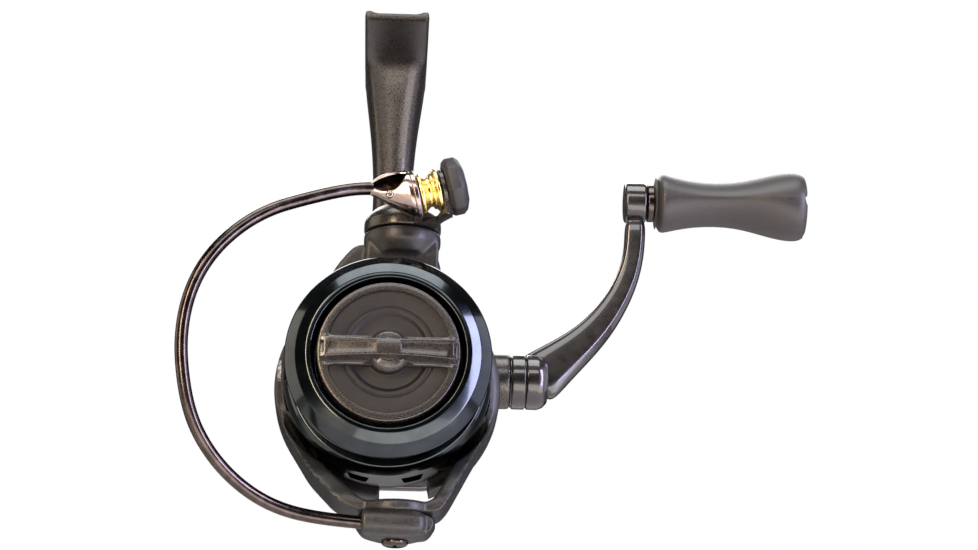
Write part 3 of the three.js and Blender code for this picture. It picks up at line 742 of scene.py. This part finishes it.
for i, (x, z, width, depth) in enumerate(middle_line):
    ahead = middle_line[min(i + 1, len(middle_line) - 1)]
    behind = middle_line[max(i - 1, 0)]
    run = Vector((ahead[0] - behind[0], 0, ahead[1] - behind[1])).normalized()
    outwards = Vector((run.z, 0, -run.x))
    crank_rings.append([at(x, CRANK_Y, z) + (outwards * a * width + BACK * b * depth) * MM
                        for a, b in CRANK_SECTION])
arm = bridged("crank_arm", crank_rings)
apply(arm, "SUBSURF", levels=2, render_levels=2)
end_outline = [(0, 56.8), (4.4, 56.8), (5, 57.2), (5, 61.8), (4.5, 62.2), (0, 62.2)]
end = turned("crank_end", rounded(end_outline, 0.6), (0, CRANK_Y, GRIP_Z), RIGHT, UP, 64, closed=False)
weld(crank, arm, end)
seat(crank, "gloss_paint", "handle", "handle_arm", angle=40)

collar_outline = [(3.4, 29.25), (6.3, 29.25), (6.3, 29.6), (6.7, 29.8), (6.7, 32.7), (6.5, 32.9), (3.4, 32.9)]
hub_collar = turned("hub_collar", rounded(collar_outline, 0.3, closed=True), (0, CRANK_Y, CRANK_Z), RIGHT, UP, 72)
seat(hub_collar, "gloss_paint", "handle", "handle_collar")

# %% [markdown]
# The grip is moulded rubber with a waist for the thumb. Its section is a soft diamond with four ridges. Its far
# end has four finger notches in the rim and a round seat for the cap.

# %% Grip
def grip_section(x, front, half_height, power):
    """A soft diamond with a ridge towards the front: a power of 2 is round, and less is sharper."""
    return oval((x, CRANK_Y, GRIP_Z), BACK, UP, front * 2, half_height * 2, power, 72)


grip_stations = [(64.8, 5, 5, 2), (64.4, 5.8, 5.8, 2), (64.5, 6.9, 6.8, 2), (65.4, 7.5, 7.4, 1.9),
                 (67, 7.4, 7.2, 1.75), (70, 7, 6.5, 1.58), (74, 6.5, 5.8, 1.46), (79, 6.2, 5.5, 1.42),
                 (84, 6.6, 5.8, 1.42), (88.5, 7.5, 6.8, 1.46), (92.5, 8.3, 7.9, 1.54), (96, 8.6, 8.5, 1.68),
                 (98.6, 8.5, 8.6, 1.8), (100.2, 8.1, 8.2, 1.85), (101.1, 7.4, 7.5, 1.9), (101.3, 6.4, 6.5, 1.9)]
grip = bridged("grip_rubber", [grip_section(*station) for station in grip_stations])
apply(grip, "SUBSURF", levels=1, render_levels=1)

# %% Notches and seat in the grip's end
NOTCH = 1.8
NOTCH_OUT = 6.6
RIM = at(101.8, CRANK_Y, GRIP_Z)
for k in range(4):
    turn = math.tau * k / 4
    spot = RIM + (BACK * math.cos(turn) + UP * math.sin(turn)) * NOTCH_OUT * MM
    clear()
    bpy.ops.mesh.primitive_uv_sphere_add(segments=32, ring_count=16, radius=NOTCH * MM, location=spot)
    cut(grip, settle_solid(bpy.context.object))
cap_seat = [(0, 98.2), (5.5, 98.2), (5.5, 104), (0, 104)]
cut(grip, turned("cap_seat", cap_seat, (0, CRANK_Y, GRIP_Z), RIGHT, UP, 72, closed=False))
seat(grip, "soft_rubber", "grip", "handle_grip", angle=50)

# %% Grip cap and post
end_cap_outline = [(0, 98.4), (5.1, 98.4), (5.1, 100.2), (4.4, 100.8), (2.4, 100.8), (2.2, 100.4), (0, 100.4)]
end_cap = turned("grip_cap", rounded(end_cap_outline, 0.3), (0, CRANK_Y, GRIP_Z), RIGHT, UP, 64, closed=False)
seat(end_cap, "matt_black_plastic", "grip", "grip_end_cap")

post_outline = [(0, 57), (2.1, 57), (2.1, 62.5), (4.6, 62.5), (4.6, 64), (2.1, 64), (2.1, 94), (0, 94)]
post = turned("grip_pin", rounded(post_outline, 0.25), (0, CRANK_Y, GRIP_Z), RIGHT, UP, 48, closed=False)
seat(post, "steel", "handle", "grip_post", skin=black_nickel)

# %% [markdown]
# The bail lever caps the upper arm and turns on it. Its top is arched, with a parting line round it, and a
# tongue in front holds the roller's screw.

# %% Bail lever
tilt_along = RIGHT * math.cos(ROLLER_TILT) + UP * math.sin(ROLLER_TILT)
tilt_across = UP * math.cos(ROLLER_TILT) - RIGHT * math.sin(ROLLER_TILT)
LEVER_TOP = 39.3
dome = [(0, 32.9), (8.5, 32.9), (8.8, 33.2), (8.8, 35.2), (8.2, 36.6), (6.6, 38.2), (4.2, 39.2), (3, LEVER_TOP),
        (0, LEVER_TOP)]
lever = turned("bail_lever_cap", rounded(dome, 0.5), PIVOT[:], UP, RIGHT, 80, closed=False)
tongue_plan = [(5, 13), (9.6, 13.6), (11.6, 8), (13.2, 5), (13.2, 2.2), (12.1, 1.4), (11, 3), (10.2, 7.4),
               (5, 9.4)]
tongue = plan_slab("tongue", rounded(tongue_plan, 0.6, closed=True), 33, 34.2)
upright_outline = [(0, 2.8), (4.4, 2.8), (4.4, 3.6), (0, 3.6)]
upright = turned("upright", upright_outline, tuple(ROLLER), tilt_along, tilt_across, 48, closed=False)
upright_foot = front_slab("upright_foot", [(12, 33.2), (13.6, 33.2), (12.8, 37), (11.5, 37)], 1.6, 5.4)
weld(lever, tongue, upright, upright_foot)
soften(lever, 0.25, 3, 40)
seat(lever, "speckled_paint", "bail", "bail_lever")
upper_screw = screw_head("pivot_screw_head_upper", (PIVOT.x, PIVOT.y, LEVER_TOP), UP, 2.4, 0.7)
seat(upper_screw, "steel", "rotor", "pivot_screw_upper", skin=black_nickel)

# %% [markdown]
# The roller guides the line on to the spool. It is a gold-coated ring with a V groove between two flanges.

# %% Line roller
roller_outline = [(2.4, -2.4), (4.3, -2.4), (4.5, -2.2), (4.5, -1.7), (4.2, -1.4), (3.4, -0.4), (3.4, 0.2),
                  (4.1, 0.5), (4.1, 1), (4.5, 1.2), (4.9, 1.5), (4.9, 2.1), (4.7, 2.3), (2.4, 2.3)]
roller_outline = rounded(roller_outline, 0.18, 3, closed=True)
roller = turned("roller_ring", roller_outline, tuple(ROLLER), tilt_along, tilt_across, 96)
seat(roller, "gold_nitride", "roller", "line_roller")

# %% Roller end cap
def octagon(distance, radius):
    """Eight places round the roller's own axis, at a distance along it."""
    places = []
    for k in range(8):
        turn = math.tau * (k + 0.5) / 8
        spoke = (BACK * math.cos(turn) + tilt_across * math.sin(turn)) * radius
        places.append(at(*ROLLER) + (tilt_along * distance + spoke) * MM)
    return places


cap_stations = [(3.8, 5.9), (4.7, 6.6), (6.8, 6.6), (7.7, 5.8), (8.2, 4.6)]
roller_cap = bridged("roller_end_cap", [octagon(*station) for station in cap_stations])
soften(roller_cap, 0.18, 2, 20)
seat(roller_cap, "matt_black_plastic", "bail", "roller_cap", angle=30)

# %% [markdown]
# The cone leads the line from the bail wire up to the roller. It is pressed from plate and rolled like a leaf: a
# point at the wire, an open hollow along its upper front, and a closed ring where it meets the roller. Each
# section is an open band with a wall, so the hollow is real.

# %% Line cone
WALL = 0.65


def leaf_section(x, y, z, depth, height, start, end, lean):
    """A band from the start angle to the end angle: 0 faces the front, 90 is the bottom and 270 is the top."""
    outer = []
    inner = []
    for k in range(33):
        turn = math.radians(start + (end - start) * k / 32)
        for band, side in ((outer, 0), (inner, WALL)):
            forward = -(depth - side) * math.cos(turn)
            upward = -(height - side) * math.sin(turn)
            band.append(at(x - upward * math.tan(math.radians(lean)), y + forward, z + upward))
    return outer + inner[::-1]


leaf_stations = [
    (-5.7, 2.3, 38.3, 1.1, 1, 20, 325, 0), (-4.6, 2.3, 38.6, 1.6, 1.7, 26, 320, 0),
    (-3.2, 2.5, 38.9, 2.2, 2.6, 30, 318, 2), (-1.6, 2.9, 38.8, 2.9, 3.5, 26, 313, 5),
    (0, 3.2, 38.6, 3.6, 4.2, 14, 308, 8), (1.6, 3.5, 38.3, 4.3, 4.8, -6, 306, 11),
    (2.9, 3.8, 38.1, 4.9, 5.2, -30, 308, 13), (3.9, 3.95, 38, 5.3, 5.4, -45, 312, 15),
    (4.9, 4, 38.2, 5.45, 5.45, -47, 312.6, 15),
]
cone = bridged("line_guide_cone", [leaf_section(*station) for station in leaf_stations])
apply(cone, "SUBSURF", levels=1, render_levels=1)
ring_outline = [(2.6, -3.9), (5.45, -3.9), (5.6, -3.7), (5.6, -2.9), (5.4, -2.7), (2.6, -2.7)]
ring = turned("cone_ring", rounded(ring_outline, 0.15, closed=True), tuple(ROLLER), tilt_along, tilt_across, 80)
stub_outline = [(0, -4.6), (2.2, -4.6), (2.6, -4.2), (2.6, -2.8), (0, -2.8)]
screw_stub = turned("roller_screw_head", stub_outline, tuple(ROLLER), tilt_along, tilt_across, 40, closed=False)
rivet = screw_head("cone_rivet", (-0.7, 0.1, 36.6), -BACK, 0.9, 0.6)
cone = gather("line_guide_cone", [cone, ring, screw_stub, rivet])
# The cone's plate is black nickel, painted lighter as a painted reflection of a bright light.
seat(cone, "black_nickel", "bail", "line_cone", "roller_screw", skin=nickel_painted_reflection)

# %% [markdown]
# The bail wire is one bent tube, so it is drawn as a smooth curve through a few places and given a round
# section. The curve runs from the cone, round in front of the spool, and back to the lower holder.

# %% Bail wire
WIRE_RADIUS = 1.45
wire_route = [
    (-4.6, 2.4, 38.6), (-6.4, 1.9, 38.4), (-9, 1.1, 37.9), (-13, -0.5, 36.6), (-20.6, -3, 33.6),
    (-26.8, -5, 30.8), (-33, -6.6, 26.4), (-38.6, -7.6, 20.4), (-42.6, -8.2, 13.2), (-44.7, -8.3, 4.9),
    (-44.9, -7.6, -4.4), (-42.7, -4.5, -16), (-38, -0.6, -24), (-31.2, 4, -30.1), (-23.2, 7.6, -33.9),
    (-13.4, 10.8, -35.3), (-4, 12.2, -35.6),
]
clear()
bpy.ops.curve.primitive_nurbs_path_add(location=(0, 0, 0))
wire = bpy.context.object
wire.name = "bail_tube"
spline = wire.data.splines[0]
spline.points.add(len(wire_route) - len(spline.points))
for point, place in zip(spline.points, wire_route):
    point.co = [*at(*place), 1]
spline.order_u = 3
spline.use_endpoint_u = True
spline.resolution_u = 8
wire.data.bevel_depth = WIRE_RADIUS * MM
wire.data.bevel_resolution = 12
wire.data.use_fill_caps = True
pick(wire)
bpy.ops.object.convert(target="MESH")
wire = bpy.context.object
wire.data.name = "bail_tube"
settle_solid(wire)
seat(wire, "black_nickel", "bail", "bail_wire")

# %% [markdown]
# The lower holder grips the wire's end and turns under the fork. It is a round plate about the pivot, with a
# barrel lying across its front for the wire, and a flat pad beside the barrel.

# %% Bail holder
plate_outline = [(0, -33.4), (8.6, -33.4), (8.9, -33.8), (8.9, -35.6), (7.6, -37.4), (4.4, -38.4), (0, -38.5)]
holder = turned("bail_holder_plate", rounded(plate_outline, 0.4), PIVOT[:], UP, RIGHT, 72, closed=False)
barrel_stations = [(-4.9, 5, 0), (-4.8, 5.8, 0), (-4.2, 6, 0), (-2, 6, -0.05), (3, 6.2, -0.15), (6.6, 6, -0.2),
                   (8.4, 5.1, -0.25), (9.3, 3.4, -0.3)]
barrel_rings = []
for x, size, drop in barrel_stations:
    barrel_rings.append(oval((x, 12, -35.4 + drop), BACK, UP, size * 1.12, size, 2.5, 40))
barrel = bridged("wire_barrel", barrel_rings)
apply(barrel, "SUBSURF", levels=1, render_levels=1)
pad_front = [(6.4, -34), (9.4, -33.6), (10.9, -34.6), (10.9, -36.4), (9.4, -38), (4.6, -38.5)]
pad = front_slab("flat_pad", rounded(pad_front, 0.8, closed=True), 10.8, 20)
weld(holder, barrel, pad)
cast(holder, 0.3, 3)
seat(holder, "rotor_composite", "bail", "bail_holder", angle=45)
lower_screw = screw_head("pivot_screw_head_lower", (PIVOT.x, PIVOT.y, -38.6), -UP, 3, 1.2)
seat(lower_screw, "steel", "rotor", "pivot_screw_lower", skin=black_nickel)

# %% [markdown]
# The studio: a pale floor well below the reel, which hangs by its foot, a white surround, and soft lights. The
# floor glows a little for the camera only, so it stays pale from every side and adds no light of its own.

# %% Floor and surround
FLOOR_METRES = 4
FLOOR_Z = -330
clear()
bpy.ops.mesh.primitive_circle_add(vertices=64, radius=FLOOR_METRES, fill_type="NGON", location=at(0, 0, FLOOR_Z))
floor = bpy.context.object
floor.name = "floor"
floor_paint = finish("pale floor", "#EDEDEB", 0.0, 0.7)
floor.data.materials.append(floor_paint)
floor_nodes = floor_paint.node_tree.nodes
paint_shader = floor_nodes["Principled BSDF"]
paint_shader.inputs["Emission Color"].default_value = (0.72, 0.72, 0.71, 1)
sight = floor_nodes.new("ShaderNodeLightPath")
floor_paint.node_tree.links.new(sight.outputs["Is Camera Ray"], paint_shader.inputs["Emission Strength"])

world = bpy.data.worlds.new("studio")
bpy.context.scene.world = world
world.use_nodes = True
surround = world.node_tree.nodes["Background"]
seen = world.node_tree.nodes.new("ShaderNodeLightPath")
mix = world.node_tree.nodes.new("ShaderNodeMixShader")
white = world.node_tree.nodes.new("ShaderNodeBackground")
white.inputs["Color"].default_value = (1, 1, 1, 1)
white.inputs["Strength"].default_value = 1.0
surround.inputs["Color"].default_value = (0.8, 0.82, 0.85, 1)
surround.inputs["Strength"].default_value = 0.06
world.node_tree.links.new(seen.outputs["Is Camera Ray"], mix.inputs["Fac"])
world.node_tree.links.new(surround.outputs["Background"], mix.inputs[1])
world.node_tree.links.new(white.outputs["Background"], mix.inputs[2])
world.node_tree.links.new(mix.outputs["Shader"], world.node_tree.nodes["World Output"].inputs["Surface"])


# %% Lights
def softbox(name, place, aim, width, height, watts, colour="#FFFFFF"):
    """An area light that faces its aim and is itself out of the camera's sight."""
    bpy.ops.object.light_add(type="AREA", location=at(*place))
    light = bpy.context.object
    light.name = name
    light.data.shape = "RECTANGLE"
    light.data.size = width * MM
    light.data.size_y = height * MM
    light.data.energy = watts
    light.data.color = linear(colour)[:3]
    light.visible_camera = False
    light.rotation_euler = (at(*aim) - at(*place)).to_track_quat("-Z", "Y").to_euler()
    return light


clear()
softbox("left_strip", (-400, -760, 150), (0, 10, 0), 130, 900, 9, "#FFE4C6")
softbox("right_strip", (700, -430, 120), (0, 10, 0), 170, 900, 11, "#DCD6FF")
softbox("left_softbox", (-760, 60, 160), (0, 10, 0), 560, 800, 2.5, "#FFF0E0")
softbox("right_softbox", (780, 60, 160), (0, 10, 0), 560, 800, 2.5, "#EAE8FF")
softbox("top_softbox", (0, -160, 700), (0, 20, 0), 700, 420, 5)
softbox("front_fill", (40, -860, 520), (0, 10, 0), 640, 240, 2.4)
softbox("low_fill", (160, -200, -310), (50, 40, 40), 700, 360, 2.2, "#FFF8EC")
softbox("back_softbox", (0, 640, 560), (0, 40, 0), 800, 400, 4)

# %% [markdown]
# A long lens, a little below the reel and nearly square on to the spool, keeps the lip and the skirt round.

# %% Camera
bpy.context.scene.view_settings.view_transform = "Standard"
TILT = math.radians(16.66)
PAN = math.radians(2.2)
ROLL = math.radians(0.9)
DISTANCE = 606.4
AIM = (21.8, 0, 18.4)
ahead = Vector((math.sin(PAN) * math.cos(TILT), math.cos(PAN) * math.cos(TILT), math.sin(TILT)))
level = Vector((math.cos(PAN), -math.sin(PAN), 0))
above = level.cross(ahead)
sideways = level * math.cos(ROLL) + above * math.sin(ROLL)
upwards = above * math.cos(ROLL) - level * math.sin(ROLL)
bpy.ops.object.camera_add(location=at(*AIM) - ahead * DISTANCE * MM)
camera = bpy.context.object
camera.rotation_euler = Matrix((sideways, upwards, -ahead)).transposed().to_euler()
camera.data.lens = 100.7
camera.data.sensor_width = 36
camera.data.clip_start = 0.01
bpy.context.scene.camera = camera
